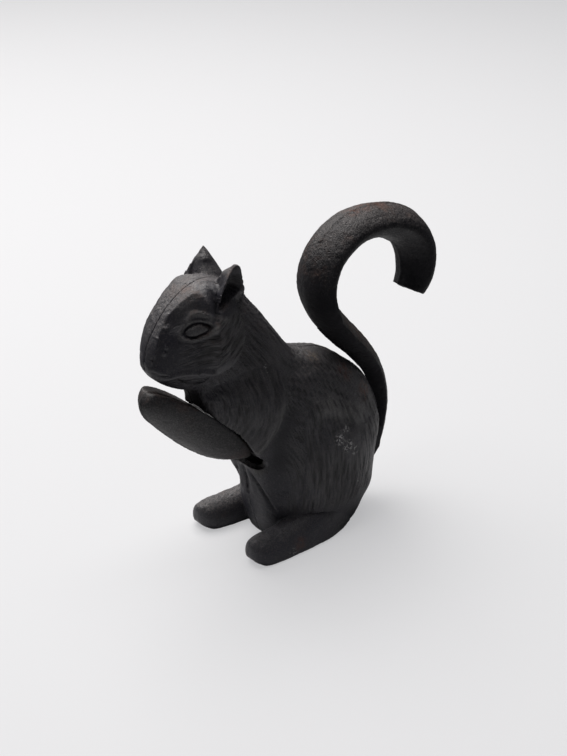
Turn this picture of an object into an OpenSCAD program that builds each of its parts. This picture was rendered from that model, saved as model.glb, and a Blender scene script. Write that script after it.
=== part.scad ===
// Lever nutcracker press: a seated squirrel cast in two hollow halves, with a tail lever
// that swings on a hidden pin and lifts the paws against the chin.
// It faces -X, +Y is its right side, and z = 0 is the surface that it stands on.

/* [Casting] */
// Wall thickness of the two hollow halves
wall = 4; // [3:0.5:5]
// How far the thigh stands out from the body
thigh_bulge = 4; // [3:0.5:5]
// How far the cheek stands out from the neck
cheek_bulge = 3; // [2:0.5:4]
// Half width of the foot
foot_half_w = 9.8; // [9:0.2:10.6]
// Height of the ear plate above its root
ear_h = 20.4; // [18:0.2:22]
// Depth of the cup in the ear's outer face
ear_cup = 4.2; // [3:0.2:5]

/* [Lever] */
// Thickness of the lever's plate between the halves
plate_t = 9; // [8:0.5:9.5]
// Width of the slot in the back for the tail
slot_w = 10.4; // [10.2:0.2:12]
// Half width of the tail at its widest
tail_half_w = 15.5; // [13:0.5:16]
// Half width of the forearm jaw
jaw_half_w = 13; // [12:0.5:14]

/* [Fasteners] */
// Diameter of the pivot pin
pin_d = 7; // [6:0.5:8]
// Radial clearance of the lever's bore on the pin
pin_clearance = 0.05; // [0.03:0.01:0.1]
// Shank diameter of the screws that clamp the halves
screw_d = 5; // [4:0.5:6]

/* [Hidden] */
iron = "#2b2a2c";
steel = "#6a6a6e";

x_shift = -2.5;
pivot = [-16, 55];
pin_half = 16;
hub_r = 11;
upper_at = [-47, 126];
lower_at = [14, 15];
upper_head_y = 16;
lower_head_y = 25.5;
screw_tip_y = -13;
head_r = screw_d * 0.95;
n_body = 40;
m_body = 15;

// Stations from the nose to the base: front x, front z, back x, back z, half width, squareness
body_rows = [
    [-91.5, 118.0, -92.0, 122.5, 3.5, 1.0],
    [-87.5, 113.0, -90.0, 131.0, 8.0, 0.9],
    [-82.0, 108.5, -86.0, 138.5, 12.5, 0.75],
    [-76.0, 105.5, -78.5, 148.0, 17.5, 0.62],
    [-70.5, 103.5, -68.0, 156.0, 19.8, 0.6],
    [-67.0, 102.0, -56.0, 159.5, 20.0, 0.65],
    [-65.5, 99.5, -43.5, 156.0, 18.5, 0.72],
    [-64.5, 96.0, -31.0, 145.5, 17.0, 0.8],
    [-62.0, 89.0, -17.0, 127.5, 18.5, 0.8],
    [-56.0, 77.0, -1.0, 108.5, 21.0, 0.8],
    [-46.0, 63.0, 24.0, 100.0, 23.0, 0.8],
    [-34.0, 50.0, 48.0, 81.0, 24.0, 0.55],
    [-29.5, 38.0, 60.5, 53.0, 24.5, 0.5],
    [-28.0, 24.0, 57.0, 25.0, 25.0, 0.58],
    [-23.5, 9.0, 47.0, 7.0, 25.0, 0.7],
    [-19.0, -3.0, 38.0, -3.0, 23.5, 0.7],
];
thigh_at = [12, 38];
thigh_r = [44, 40];
cheek_at = [-61, 124];
cheek_r = [24, 25];
chest_at = [-42, 82];
chest_r = [28, 30];
neck_at = [-34, 118];
neck_r = [13, 26];
valley_at = [-17, 70];
valley_r = [9, 34];

// Edge between the snout's top and the side of the face: x, z, half width there
face_edge = [
    [-92.4, 119.0, 5.0],
    [-90.6, 123.5, 6.2],
    [-89.2, 128.3, 6.5],
    [-87.6, 133.2, 6.0],
    [-85.6, 138.6, 5.2],
    [-82.6, 143.4, 4.7],
    [-79.2, 147.0, 5.0],
    [-76.5, 149.6, 5.8],
    [-74.0, 150.6, 8.5],
    [-70.6, 149.8, 12.5],
    [-66.0, 148.8, 15.5],
    [-60.0, 146.5, 18.0],
];

// Plate of the ear: its foot, and the directions along, up and out of its face
ear_foot = [-57.4, 16.8, 148.5];
ear_along = [0.904, -0.428, 0.009];
ear_up = [0.055, 0.136, 0.989];
ear_out = [0.425, 0.893, -0.146];
// Height, and place of the front and rear edges along the plate
ear_rows = [
    [-7.0, -1.5, 27.5],
    [-1.0, -0.5, 25.8],
    [3.5, 0.2, 24.1],
    [8.0, 1.2, 22.0],
    [12.0, 3.0, 19.6],
    [15.5, 5.6, 17.1],
    [18.2, 8.5, 15.0],
    [20.4, 12.0, 12.8],
];
// Outline of the cup in the plane of the plate: along, up
cup_outline = [
    [10.6, 17.0],
    [6.4, 15.0],
    [2.7, 10.5],
    [2.4, 5.0],
    [3.8, -0.8],
    [9.3, 1.2],
    [17.3, 3.6],
    [19.2, 6.0],
    [18.4, 9.6],
    [14.6, 14.6],
];
cup_middle = [11, 7.5];

// Foot stations from toe to heel: x, y, half width, bottom, top
foot_rows = [
    [-46.4, 24.5, 2.0, 6.0, 11.0],
    [-45.0, 24.5, 5.2, 3.0, 13.6],
    [-42.0, 24.5, 7.8, 1.0, 14.6],
    [-37.0, 24.3, 9.3, -1.5, 15.4],
    [-29.0, 24.0, 9.8, -2.0, 15.6],
    [-19.0, 23.6, 10.0, -2.0, 16.4],
    [-7.0, 23.0, 9.9, -2.0, 17.4],
    [6.0, 21.6, 9.8, -2.0, 18.0],
    [18.0, 19.2, 9.4, -2.0, 17.5],
    [30.0, 15.5, 8.0, -2.0, 16.0],
];

// Tail stations: centre x, centre z, thickness, half width as a share of the widest
tail_rows = [
    [52.0, 20.0, 8.0, 0.3],
    [60.5, 30.0, 9.0, 0.3],
    [65.2, 46.0, 9.5, 0.33],
    [65.4, 62.0, 10.0, 0.4],
    [58.7, 79.5, 11.5, 0.53],
    [47.3, 94.8, 13.0, 0.7],
    [34.0, 108.5, 14.0, 0.84],
    [23.0, 122.5, 14.6, 0.94],
    [18.9, 138.5, 15.6, 1.0],
    [25.0, 154.0, 17.0, 1.0],
    [41.0, 164.6, 18.0, 1.0],
    [61.5, 165.2, 18.5, 1.0],
    [79.2, 158.3, 19.2, 0.97],
    [89.6, 145.0, 19.4, 0.9],
    [91.2, 130.0, 17.6, 0.8],
    [86.5, 120.0, 15.0, 0.66],
];

// Forearm stations: top x, top z, thickness, half width as a share of the widest
arm_rows = [
    [-92.2, 106.0, 3.5, 0.2],
    [-89.2, 107.0, 10.0, 0.5],
    [-82.8, 104.3, 15.5, 0.76],
    [-72.0, 97.5, 19.0, 0.93],
    [-58.5, 87.0, 21.0, 1.0],
    [-46.0, 75.5, 19.5, 1.0],
    [-38.0, 65.5, 15.0, 0.9],
    [-34.0, 57.0, 7.0, 0.7],
];
arm_down = [-0.64, -0.77];
// Half of the forearm's hull from the edge of its flat top to the keel: depth, half width
hull_rows = [
    [0.0, 1.0],
    [0.12, 1.03],
    [0.30, 1.02],
    [0.50, 0.93],
    [0.70, 0.72],
    [0.88, 0.42],
    [0.97, 0.18],
    [1.0, 0.0],
];

// Side outline of the front cut-out, parallel to the top of the forearm
cut_line = [
    [-74.0, 100.3],
    [-72.0, 98.9],
    [-66.0, 94.1],
    [-58.0, 87.9],
    [-51.0, 81.6],
    [-45.0, 75.8],
    [-39.5, 69.0],
    [-34.5, 60.8],
    [-30.0, 54.0],
    [-28.0, 50.5],
    [-30.0, 47.2],
    [-45.0, 46.6],
    [-60.0, 60.0],
    [-110.0, 60.0],
    [-110.0, 100.3],
];
notch_at = [-31.2, 50.8];
notch_r = 4;

function spline4(a, b, c, d, t) =
    0.5 * (2 * b + (c - a) * t + (2 * a - 5 * b + 4 * c - d) * t * t
           + (3 * b - a - 3 * c + d) * t * t * t);
function along(rows, u) =
    let (n = len(rows) - 1, i = min(floor(u * n), n - 1))
    spline4(rows[max(i - 1, 0)], rows[i], rows[i + 1], rows[min(i + 2, n)], u * n - i);
function smooth(t) = let (c = min(1, max(0, t))) c * c * (3 - 2 * c);
function bump(x, z, at, r, h, edge) =
    h * smooth((1 - norm([(x - at.x) / r.x, (z - at.y) / r.y])) / edge);

// Largest half width of the side of the face at a point of the side view
function face_limit(x, z) =
    min([for (e = face_edge) e[2] + 15 * (1 - exp(-norm([x - e[0], z - e[1]]) / 7))])
    + 14 * smooth((x + 70) / 16);

// One point of a half's skin: u runs from nose to base, a is the angle across the section
function skin(u, a, off) =
    let (r = along(body_rows, u), d = [r[2] - r[0], r[3] - r[1]], g = d / norm(d),
         s = (1 - cos(a)) / 2 * (norm(d) - 2 * off) + off,
         x = r[0] + g.x * s, z = r[1] + g.y * s,
         b = bump(x, z, thigh_at, thigh_r, thigh_bulge, 0.75)
             + bump(x, z, cheek_at, cheek_r, cheek_bulge, 0.85)
             + bump(x, z, chest_at, chest_r, 1.6, 0.7)
             + bump(x, z, neck_at, neck_r, -2.2, 0.8)
             + bump(x, z, valley_at, valley_r, -1.5, 0.8),
         y = (r[4] - off) * pow(sin(a), r[5]) + b * smooth(sin(a) * 1.6),
         face = x < -54 && norm(d) - s > 1.7)
    [x, face ? max(min(y, 0.5), min(y, face_limit(x, z) - 1.3 * off)) : y, z];

// Closed grid of n + 1 rings of m + 1 points each, m odd, with flat ends
module grid_solid(points, n, m) {
    faces = [
        for (i = [0:n - 1]) for (j = [0:m])
            let (a = i * (m + 1) + j, b = i * (m + 1) + (j + 1) % (m + 1))
            each [[a, b + m + 1, b], [a, a + m + 1, b + m + 1]],
        for (j = [0:(m - 3) / 2]) let (k = m - j)
            each [[j, j + 1, k - 1], [j, k - 1, k]],
        for (j = [0:(m - 3) / 2]) let (e = n * (m + 1), k = e + m - j)
            each [[e + j, k - 1, e + j + 1], [e + j, k, k - 1]],
    ];
    polyhedron(points, faces);
}

// Hollow half casting: outer skin, inner skin and the flat rim on the parting plane
module half_shell() {
    n = n_body;
    m = m_body;
    k = (n + 1) * (m + 1);
    outer = [for (i = [0:n]) for (j = [0:m]) skin(i / n, 180 * j / m, 0)];
    inner = [for (i = [0:n]) for (j = [0:m]) skin(0.13 + 0.82 * i / n, 180 * j / m, wall)];
    faces = [
        for (i = [0:n - 1]) for (j = [0:m - 1])
            let (a = i * (m + 1) + j, b = a + 1, c = b + m + 1, d = a + m + 1)
            each [[a, c, b], [a, d, c], [k + a, k + b, k + c], [k + a, k + c, k + d]],
        for (j = [1:m - 1]) each [[0, j, j + 1], [k, k + j + 1, k + j]],
        for (j = [1:m - 1]) let (e = n * (m + 1))
            each [[e, e + j + 1, e + j], [k + e, k + e + j, k + e + j + 1]],
        for (i = [0:n - 1]) let (a = i * (m + 1), d = a + m + 1, p = a + m, q = d + m)
            each [[a, k + d, d], [a, k + a, k + d], [q, k + p, p], [q, k + q, k + p]],
        [m, k, 0],
        [m, k + m, k],
        [n * (m + 1), 2 * k - 1, k - 1],
        [n * (m + 1), k + n * (m + 1), 2 * k - 1],
    ];
    polyhedron(concat(outer, inner), faces);
}

module foot() {
    n = 14;
    m = 11;
    pts = [for (i = [0:n]) let (r = along(foot_rows, i / n), l = (r[4] - r[3]) * 0.3)
        for (j = [0:m]) let (a = -40 + 260 * j / m, s = sin(a), h = r[4] - r[3] - l)
        [r[0], r[1] + r[2] / 9.8 * foot_half_w * cos(a), r[3] + l + (s > 0 ? h * s : l * s / sin(40))]];
    grid_solid(pts, n, m);
}

function on_plate(along, up, out) =
    ear_foot + ear_along * along + ear_up * (up > 0 ? up * ear_h / 20.4 : up) + ear_out * out;

// Plate of the ear: closed curves from its rear edge to its front edge and back
module ear_plate() {
    n = 7;
    m = 15;
    pts = [for (i = [0:n])
        let (t = ear_rows[i][0], c = (ear_rows[i][1] + ear_rows[i][2]) / 2,
             w = (ear_rows[i][2] - ear_rows[i][1]) / 2,
             thick = 1.9 + 1.8 * smooth((18 - t) / 18) + 3.5 * exp(-max(0, t + 1) / 3))
        for (j = [0:m])
        let (f = j <= 8, v = cos(180 * j / 8),
             o = f ? (1.7 + 1.2 * smooth((v - 0.2) / 0.5)) * pow(max(0, 1 - pow(v, 6)), 0.5)
                   : -thick * pow(max(0, 1 - v * v), 0.5))
        on_plate(c + w * v, t, o)];
    grid_solid(pts, n, m);
}

// Tapered tool that sinks the cup into the ear's outer face
module ear_cup_tool() {
    n = 4;
    levels = [[9, 1.3], [2.2, 1], [1.2 - 0.2 * ear_cup, 0.86], [0.8 - 0.5 * ear_cup, 0.62],
              [2 - ear_cup, 0.3]];
    pts = [for (l = levels) for (p = cup_outline)
        let (q = cup_middle + (p - cup_middle) * l[1])
        on_plate(q.x, q.y, l[0])];
    grid_solid(pts, n, 9);
}

module along_y(at, from, to, r) {
    translate([at.x, from, at.y])
    rotate([-90, 0, 0])
    cylinder(h = to - from, r = r, $fn = 48);
}

// Half casting with its foot, ear and bosses, on the +Y side
module half_solid() {
    difference() {
        union() {
            half_shell();
            foot();
            ear_plate();
            along_y(pivot, plate_t / 2 + 0.6, 19, 8);
            along_y(upper_at, 0, 14.6, 6.5);
            along_y(lower_at, 0, 24.5, 6.5);
        }
        translate([-120, -10, -20])
        cube([240, 60, 20]);
        ear_cup_tool();
        front_cut();
        back_slot();
    }
}

module front_cut() {
    translate([0, 40, 0])
    rotate([90, 0, 0])
    linear_extrude(50) {
        polygon(cut_line);
        translate(notch_at)
        circle(r = notch_r, $fn = 32);
    }
}

// Slot in the back wall, as wide as half the tail's root and its running clearance
module back_slot() {
    translate([30, -10, 13.5])
    cube([45, 10 + slot_w / 2, 82]);
}

module screw_body(head_y) {
    difference() {
        union() {
            along_y([0, 0], screw_tip_y, head_y, screw_d / 2);
            translate([0, head_y - 3, 0])
            rotate([-90, 0, 0])
            cylinder(h = 3, r1 = screw_d / 2, r2 = head_r, $fn = 48);
        }
        translate([-0.6, head_y - 1.1, -10])
        cube([1.2, 5, 20]);
    }
}

// Clearance hole and countersink for a screw in the right half
module screw_seat(at, head_y) {
    along_y(at, -1, head_y, screw_d / 2 + 0.1);
    translate([at.x, head_y - 3, at.y])
    rotate([-90, 0, 0])
    cylinder(h = 3, r1 = screw_d / 2 + 0.1, r2 = head_r + 0.1, $fn = 48);
    along_y(at, head_y - 0.01, 40, head_r + 0.1);
}

// Section of the tail: a superellipse whose soft keels lie on the parting plane
function keeled(c) = sign(c) * pow(abs(c), 1.18);

module tail() {
    n = 42;
    m = 19;
    pts = [for (i = [0:n])
        let (r = along(tail_rows, i / n), p = along(tail_rows, max(0, i - 0.3) / n),
             q = along(tail_rows, min(n, i + 0.3) / n), d = [q[0] - p[0], q[1] - p[1]],
             g = d / norm(d))
        for (j = [0:m])
        let (a = 360 * j / (m + 1), h = r[2] / 2 * keeled(cos(a)) * (cos(a) < 0 ? 1.1 : 1))
            [r[0] + g.y * h, r[3] * tail_half_w * keeled(sin(a)), r[1] - g.x * h]];
    grid_solid(pts, n, m);
}

// Boat-shaped forearm with the two paws at its tip
module forearm() {
    n = 18;
    m = 15;
    pts = [for (i = [0:n]) let (r = along(arm_rows, i / n)) for (j = [0:m])
        let (v = 2 * j / m - 1, q = along(hull_rows, 1 - abs(v)), h = r[2] * q[0])
        [r[0] + arm_down.x * h, sign(v) * r[3] * jaw_half_w * q[1], r[1] + arm_down.y * h]];
    grid_solid(pts, n, m);
}

// Plate that joins the forearm, the hub and the tail between the halves
module plate() {
    translate([0, plate_t / 2, 0])
    rotate([90, 0, 0])
    linear_extrude(plate_t) {
        polygon([[-54, 78], [-41, 63], [-36, 58], [-25, 51], [-12, 45.2], [54, 16.5],
                 [64, 28], [66, 40], [40, 49], [-8, 63], [-22, 64], [-38, 71]]);
        translate(pivot)
        circle(r = hub_r, $fn = 64);
    }
}

module body_left() {
    color(iron)
    translate([x_shift, 0, 0])
    difference() {
        mirror([0, 1, 0])
        half_solid();
        along_y(pivot, -pin_half, 0, pin_d / 2);
        along_y(upper_at, screw_tip_y - 0.5, 1, screw_d / 2);
        along_y(lower_at, screw_tip_y - 0.5, 1, screw_d / 2);
    }
}

module body_right() {
    color(iron)
    translate([x_shift, 0, 0])
    difference() {
        half_solid();
        along_y(pivot, 0, pin_half, pin_d / 2);
        screw_seat(upper_at, upper_head_y);
        screw_seat(lower_at, lower_head_y);
    }
}

module tail_lever() {
    color(iron)
    translate([x_shift, 0, 0])
    difference() {
        union() {
            tail();
            forearm();
            plate();
        }
        along_y(pivot, -20, 20, pin_d / 2 + pin_clearance);
    }
}

module pivot_pin() {
    color(steel)
    translate([x_shift, 0, 0])
    along_y(pivot, -pin_half, pin_half, pin_d / 2);
}

module body_screw_upper() {
    color(steel)
    translate([x_shift, 0, 0])
    translate([upper_at.x, 0, upper_at.y])
    screw_body(upper_head_y);
}

module body_screw_lower() {
    color(steel)
    translate([x_shift, 0, 0])
    translate([lower_at.x, 0, lower_at.y])
    screw_body(lower_head_y);
}

body_left();
body_right();
tail_lever();
pivot_pin();
body_screw_upper();
body_screw_lower();
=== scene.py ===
"""Looks for the lever nutcracker press: two hollow half castings, the tail lever, its pin and
the screws. Shapes are numpy surfaces in millimetres, put into meshes in metres."""

import math

import bpy
import numpy as np
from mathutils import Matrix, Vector


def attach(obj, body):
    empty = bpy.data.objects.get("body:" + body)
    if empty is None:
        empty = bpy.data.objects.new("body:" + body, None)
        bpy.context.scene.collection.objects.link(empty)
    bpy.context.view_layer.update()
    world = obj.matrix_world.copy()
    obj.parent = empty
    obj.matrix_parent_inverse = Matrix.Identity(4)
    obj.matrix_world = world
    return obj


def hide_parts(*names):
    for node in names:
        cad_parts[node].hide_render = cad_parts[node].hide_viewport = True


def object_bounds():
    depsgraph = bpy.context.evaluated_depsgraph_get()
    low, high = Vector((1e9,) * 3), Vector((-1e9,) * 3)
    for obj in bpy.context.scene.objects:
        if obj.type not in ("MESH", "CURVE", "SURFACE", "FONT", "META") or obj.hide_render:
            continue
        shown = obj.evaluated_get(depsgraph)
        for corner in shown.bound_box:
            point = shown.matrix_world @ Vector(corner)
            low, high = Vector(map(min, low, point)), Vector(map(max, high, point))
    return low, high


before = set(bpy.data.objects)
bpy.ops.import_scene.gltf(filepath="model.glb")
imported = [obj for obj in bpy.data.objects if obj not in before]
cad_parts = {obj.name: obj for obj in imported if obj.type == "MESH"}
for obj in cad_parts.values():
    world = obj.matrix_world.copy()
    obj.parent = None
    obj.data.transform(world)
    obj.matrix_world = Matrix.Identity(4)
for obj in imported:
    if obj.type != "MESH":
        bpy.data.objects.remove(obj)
cad_low, cad_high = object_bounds()

MM = 0.001
# The shapes are drawn in millimetres with the hinge at x = -16, and then moved by this much.
X_SHIFT = -2.5
HINGE = (-16, 55)
# the fused skins' voxel size, the most triangles of a casting, and how far the castings stay
# inside the frame's box
VOXEL = 0.6
MOST_TRIANGLES = 192000
CLEARANCE = 0.02

# ---------------------------------------------------------------- curves, bells and noise


def spline_rows(rows, u):
    """Rows read along a Catmull-Rom spline: between rows b and c with neighbours a and d,
    half of 2b + (c-a)t + (2a-5b+4c-d)t2 + (3b-a-3c+d)t3, for a whole array of u in 0..1."""
    rows = np.asarray(rows, float)
    n = len(rows) - 1
    t = np.clip(u, 0, 1) * n
    i = np.minimum(np.floor(t).astype(int), n - 1)
    f = (t - i)[..., None]
    a, b = rows[np.maximum(i - 1, 0)], rows[i]
    c, d = rows[i + 1], rows[np.minimum(i + 2, n)]
    return 0.5 * (2 * b + (c - a) * f + (2 * a - 5 * b + 4 * c - d) * f**2
                  + (3 * b - a - 3 * c + d) * f**3)


def smooth(t):
    """Smooth step: 3t2 - 2t3 of t held in 0..1."""
    t = np.clip(t, 0, 1)
    return t * t * (3 - 2 * t)


def bell(d, width):
    """A bell curve, 1 at d = 0: exp of minus the square of d over the width."""
    return np.exp(-((d / width) ** 2))


def spot(x, z, at, reach_x, reach_z):
    """A bell in the side plane round a point, with its own reach along x and along z."""
    return np.exp(-(((x - at[0]) / reach_x) ** 2 + ((z - at[1]) / reach_z) ** 2))


def noise(p, scale, key):
    """Value noise in -1..1: random values on the corners of a cube lattice of the given cell
    size, mixed with smooth steps along the three axes."""
    q = np.asarray(p, float) / scale + 1000.0
    i = np.floor(q).astype(np.int64)
    f = q - i
    f = f * f * (3 - 2 * f)
    total = 0.0
    for corner in range(8):
        o = np.array([corner & 1, corner >> 1 & 1, corner >> 2 & 1])
        h = ((i + o) * np.array([73856093, 19349663, 83492791])).sum(-1) + key * 9176461
        h = (h ^ (h >> 13)) * 1274126177
        h = (h ^ (h >> 16)) & 0xFFFF
        w = np.prod(np.where(o, f, 1 - f), axis=-1)
        total = total + w * (h / 32767.5 - 1)
    return total


def path_distance(q, points):
    """Distance to a polyline, and the share of its length at the nearest point: the nearest of
    all segments, each clamped to its ends."""
    p = np.asarray(points, float)
    a, d = p[:-1], p[1:] - p[:-1]
    length = np.linalg.norm(d, axis=1)
    q = q[:, None, :] - a
    t = np.clip((q * d).sum(-1) / length**2, 0, 1)
    dist = np.linalg.norm(q - t[..., None] * d, axis=-1)
    k = dist.argmin(1)
    row = np.arange(len(q))
    start = np.concatenate([[0], np.cumsum(length)])
    return dist[row, k], (start[k] + t[row, k] * length[k]) / start[-1]


def line_distance(x, z, points):
    """The same in the side plane, the distance alone."""
    return path_distance(np.stack([x, z], -1), points)[0]


def along_path(q, points, width, ends, start):
    """A round-topped band along a polyline, 1 on its middle: a bell of the distance to the
    line, faded over its first and last parts."""
    d, s = path_distance(q, points)
    return bell(d, width) * smooth(np.minimum(s, 1 - s) * ends + start)


def ridge(x, z, line, width, ends=6.0):
    """The same in a plane, for two coordinates."""
    return along_path(np.stack([x, z], -1), line, width, ends, 0.15)


def inside_distance(x, z, polygon):
    """Signed distance to a closed outline in the side plane, positive inside: the nearest
    edge's distance, signed by the even-odd count of edges crossed."""
    p = np.asarray(polygon, float)
    dist = line_distance(x, z, np.vstack([p, p[:1]]))
    q = np.roll(p, -1, 0)
    up = (p[:, 1] > z[:, None]) != (q[:, 1] > z[:, None])
    with np.errstate(divide="ignore", invalid="ignore"):
        cross = p[:, 0] + (z[:, None] - p[:, 1]) / (q[:, 1] - p[:, 1]) * (q[:, 0] - p[:, 0])
    odd = (up & (x[:, None] < cross)).sum(1) % 2 == 1
    return np.where(odd, dist, -dist)


# ---------------------------------------------------------------- mesh helpers


def ring_grid(points):
    """Faces for a grid of closed rings: quads between neighbouring rings, and a fan from each
    end ring's middle point. points has shape rings x ring x 3."""
    n, m, _ = points.shape
    i, j = np.meshgrid(np.arange(n - 1), np.arange(m), indexing="ij")
    a = i * m + j
    b = i * m + (j + 1) % m
    quads = np.stack([a, b, b + m, a + m], -1).reshape(-1, 4)
    verts = np.vstack([points.reshape(-1, 3), points[0].mean(0), points[-1].mean(0)])
    k, last = np.arange(m), (n - 1) * m
    first_fan = np.stack([(k + 1) % m, k, np.full(m, n * m)], -1)
    last_fan = np.stack([last + k, last + (k + 1) % m, np.full(m, n * m + 1)], -1)
    return verts, [quads, first_fan, last_fan]


def add_object(name, data):
    obj = bpy.data.objects.new(name, data)
    bpy.context.scene.collection.objects.link(obj)
    return obj


def new_object(name, verts_mm, faces):
    """A mesh object from points in millimetres and a list of face arrays."""
    mesh = bpy.data.meshes.new(name)
    mesh.from_pydata((np.asarray(verts_mm) * MM).tolist(), [],
                     [f for group in faces for f in group.tolist()])
    mesh.validate()
    return add_object(name, mesh)


def points_of(mesh):
    co = np.empty(len(mesh.vertices) * 3, np.float64)
    mesh.vertices.foreach_get("co", co)
    return co.reshape(-1, 3) / MM


def normals_of(mesh):
    no = np.empty(len(mesh.vertices) * 3, np.float64)
    mesh.vertex_normals.foreach_get("vector", no)
    return no.reshape(-1, 3)


def set_points(mesh, co):
    mesh.vertices.foreach_set("co", (co * MM).astype(np.float32).ravel())
    mesh.update()


def put_attribute(mesh, name, values):
    """A number for each point or, with three columns, a vector, which the material reads."""
    values = np.asarray(values, np.float32)
    if values.ndim == 1:
        mesh.attributes.new(name, "FLOAT", "POINT").data.foreach_set("value", values)
    else:
        mesh.attributes.new(name, "FLOAT_VECTOR", "POINT").data.foreach_set(
            "vector", values.ravel())


def applied(obj):
    """The object's mesh with its modifiers applied, and no modifiers left."""
    deps = bpy.context.evaluated_depsgraph_get()
    mesh = bpy.data.meshes.new_from_object(obj.evaluated_get(deps))
    obj.modifiers.clear()
    old = obj.data
    obj.data = mesh
    bpy.data.meshes.remove(old)
    return mesh


def outward(obj):
    """Faces turned so that the mesh encloses a positive volume."""
    import bmesh
    bm = bmesh.new()
    bm.from_mesh(obj.data)
    bmesh.ops.recalc_face_normals(bm, faces=bm.faces)
    if bm.calc_volume(signed=True) < 0:
        bmesh.ops.reverse_faces(bm, faces=bm.faces)
    bm.to_mesh(obj.data)
    bm.free()


def cut(obj, cutters):
    """Takes each cutter's volume out of the object, then removes the cutters."""
    for c in cutters:
        outward(c)
        m = obj.modifiers.new("cut", "BOOLEAN")
        m.operation = "DIFFERENCE"
        m.solver = "EXACT"
        m.object = c
    applied(obj)
    for c in cutters:
        bpy.data.objects.remove(c)


def relax(obj, factor, rounds):
    m = obj.modifiers.new("relax", "SMOOTH")
    m.factor = factor
    m.iterations = rounds


def fuse(name, parts):
    """One skin round all overlapping parts: voxels of one size, then a few rounds of
    smoothing, which leaves the small fillets of a casting."""
    verts, faces, base = [], [], 0
    for p in parts:
        co = points_of(p.data)
        verts.append(co)
        faces += [[base + v for v in f.vertices] for f in p.data.polygons]
        base += len(co)
        bpy.data.objects.remove(p)
    mesh = bpy.data.meshes.new(name)
    mesh.from_pydata((np.vstack(verts) * MM).tolist(), [], faces)
    obj = add_object(name, mesh)
    m = obj.modifiers.new("skin", "REMESH")
    m.mode = "VOXEL"
    m.voxel_size = VOXEL * MM
    m.use_smooth_shade = True
    relax(obj, 0.5, 3)
    applied(obj)
    return obj


def lighten(obj, inner):
    """Collapses a mesh that has too many triangles, the marked points first."""
    mesh = obj.data
    count = sum(len(f.vertices) - 2 for f in mesh.polygons)
    if count <= MOST_TRIANGLES:
        return mesh
    g = obj.vertex_groups.new(name="inner")
    g.add(np.nonzero(inner)[0].tolist(), 1.0, "REPLACE")
    m = obj.modifiers.new("lighten", "DECIMATE")
    m.ratio = MOST_TRIANGLES / count
    m.vertex_group = "inner"
    m.vertex_group_factor = 1.0
    mesh = applied(obj)
    obj.vertex_groups.clear()
    return mesh


def prism(name, outline, low, high):
    """A side outline carried along Y from low to high."""
    p = np.asarray(outline, float)
    ring = [np.column_stack([p[:, 0], np.full(len(p), y), p[:, 1]]) for y in (low, high)]
    k = np.arange(len(p))
    n = len(p)
    quads = np.stack([k, (k + 1) % n, (k + 1) % n + n, k + n], -1)
    return new_object(name, np.vstack(ring), [quads, k[None, ::-1], (k + n)[None]])


def circle(at, r, count=48):
    """Points of a circle in the side plane."""
    t = np.linspace(0, 2 * np.pi, count, endpoint=False)
    return np.column_stack([at[0] + r * np.cos(t), at[1] + r * np.sin(t)])


# ---------------------------------------------------------------- the half castings

# nose to base: front x, z, back x, z, half width, squareness at the front and at the back
BODY_ROWS = [
    [-91.5, 118.0, -92.0, 122.5, 3.6, 1.0, 0.95],
    [-87.5, 113.0, -90.0, 131.0, 8.2, 0.9, 0.78],
    [-82.0, 108.5, -86.0, 138.5, 12.8, 0.75, 0.66],
    [-76.0, 105.5, -78.5, 148.0, 17.5, 0.62, 0.6],
    [-70.5, 103.5, -68.0, 156.0, 19.8, 0.6, 0.6],
    [-67.0, 102.0, -56.0, 159.5, 20.0, 0.65, 0.64],
    [-65.5, 99.5, -43.5, 156.0, 18.5, 0.72, 0.72],
    [-64.5, 96.0, -31.0, 145.5, 17.0, 0.8, 0.8],
    [-62.0, 89.0, -17.0, 127.5, 18.5, 0.8, 0.8],
    [-56.0, 77.0, -1.0, 108.5, 21.0, 0.8, 0.8],
    [-46.0, 63.0, 24.0, 100.0, 23.0, 0.8, 0.8],
    [-34.0, 50.0, 48.0, 81.0, 23.8, 0.55, 0.7],
    [-29.5, 38.0, 60.5, 53.0, 24.2, 0.5, 0.6],
    [-28.0, 24.0, 57.0, 25.0, 24.8, 0.58, 0.64],
    [-23.5, 9.0, 47.0, 7.0, 25.0, 0.7, 0.7],
    [-19.0, -3.0, 38.0, -3.0, 23.5, 0.7, 0.7],
]
FOOT_ROWS = [
    [-46.4, 24.5, 2.0, 6.0, 11.0],
    [-45.0, 24.5, 5.2, 3.0, 13.6],
    [-42.0, 24.5, 7.8, 1.0, 14.6],
    [-37.0, 24.3, 9.3, -1.5, 15.4],
    [-29.0, 24.0, 9.8, -2.0, 15.6],
    [-19.0, 23.6, 10.0, -2.0, 16.4],
    [-7.0, 23.0, 9.9, -2.0, 17.4],
    [6.0, 21.6, 9.8, -2.0, 18.0],
    [17.0, 18.6, 9.0, -2.0, 16.6],
    [27.0, 15.0, 7.4, -2.0, 13.0],
]
CUT_LINE = [
    [-74.0, 100.3], [-72.0, 98.9], [-66.0, 94.1], [-58.0, 87.9], [-51.0, 81.6], [-45.0, 75.8],
    [-39.5, 69.0], [-34.5, 60.8], [-30.0, 54.0], [-28.0, 50.5], [-30.0, 47.2], [-45.0, 46.6],
    [-60.0, 60.0], [-110.0, 60.0], [-110.0, 100.3],
]
# the round end of the front cut-out, and the slot at the back for the tail's plate
NOTCH = (-31.2, 50.8)
TAIL_SLOT = [[30, 13.5], [75, 13.5], [75, 96.3], [30, 96.3]]
WALL = 4.0
INNER_FLOOR = 5.0
# swellings over an ellipse on the side: centre x, z, half sizes, height, softness
THIGH = (12, 38, 44, 40, 4.0, 0.75)
CHEEK = (-61, 124, 24, 25, 2.2, 0.85)
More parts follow.
